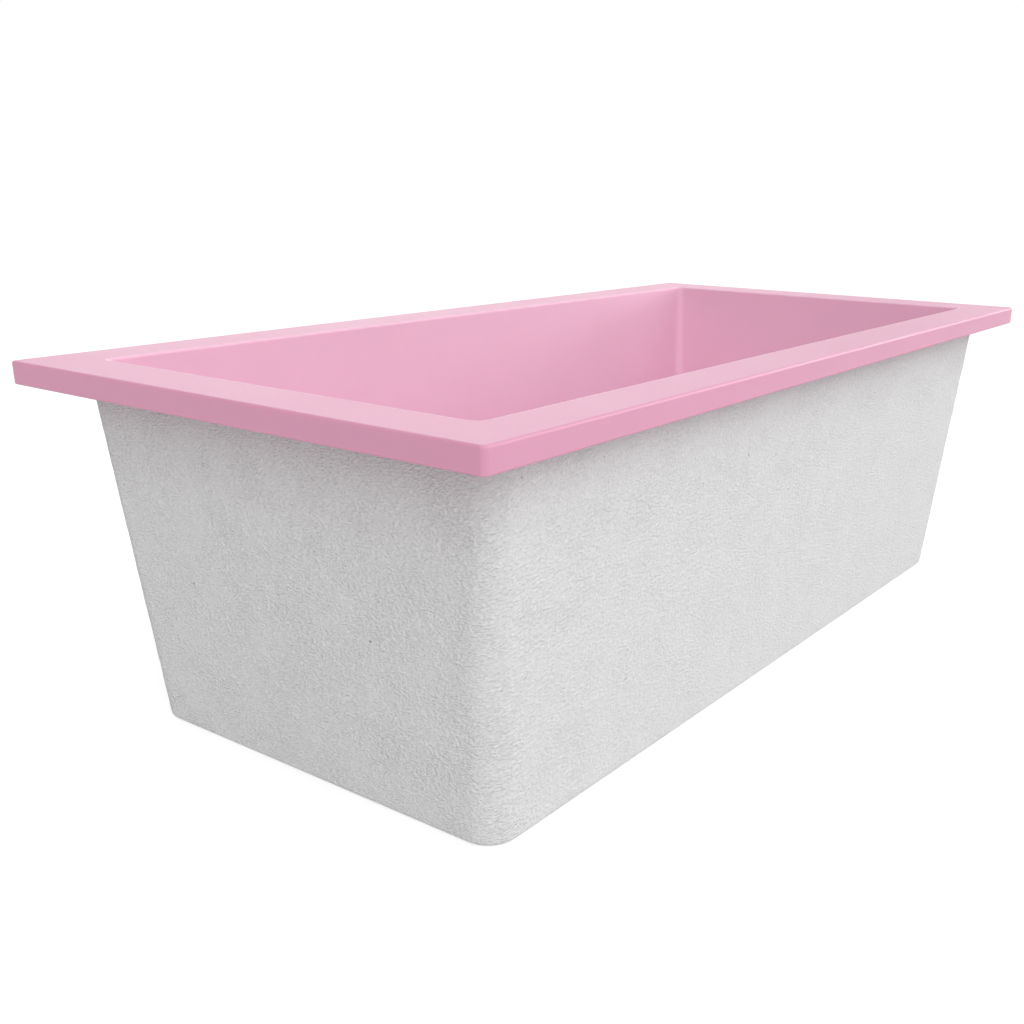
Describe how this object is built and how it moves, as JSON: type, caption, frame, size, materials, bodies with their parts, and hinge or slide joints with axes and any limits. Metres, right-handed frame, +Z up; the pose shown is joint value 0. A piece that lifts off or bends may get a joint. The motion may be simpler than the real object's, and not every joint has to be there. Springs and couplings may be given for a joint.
{
  "type": "soap loaf mould",
  "caption": "Rectangular soap loaf mould: a flexible liner with a wide flat flange, seated in a stiff tapered shell with a rough outer face, from which it lifts out.",
  "frame": {"origin": "centre of the shell's underside, on the surface that the mould stands on", "axes": "+X along the length, +Y across the width, +Z up and out of the open top"},
  "size_m": [0.225, 0.111, 0.0717],
  "materials": {
    "shell_white": "white, matt, fine rough-cast texture outside and plain inside",
    "liner_pink": "pale pink silicone, smooth satin"
  },
  "bodies": {
    "shell": {"shell": "shell_white"},
    "liner": {"liner": "liner_pink"}
  },
  "joints": [
    {"name": "liner_lift", "type": "slide", "parent": "shell", "child": "liner", "axis": [0, 0, 1], "range_m": [0, 0.08]}
  ]
}
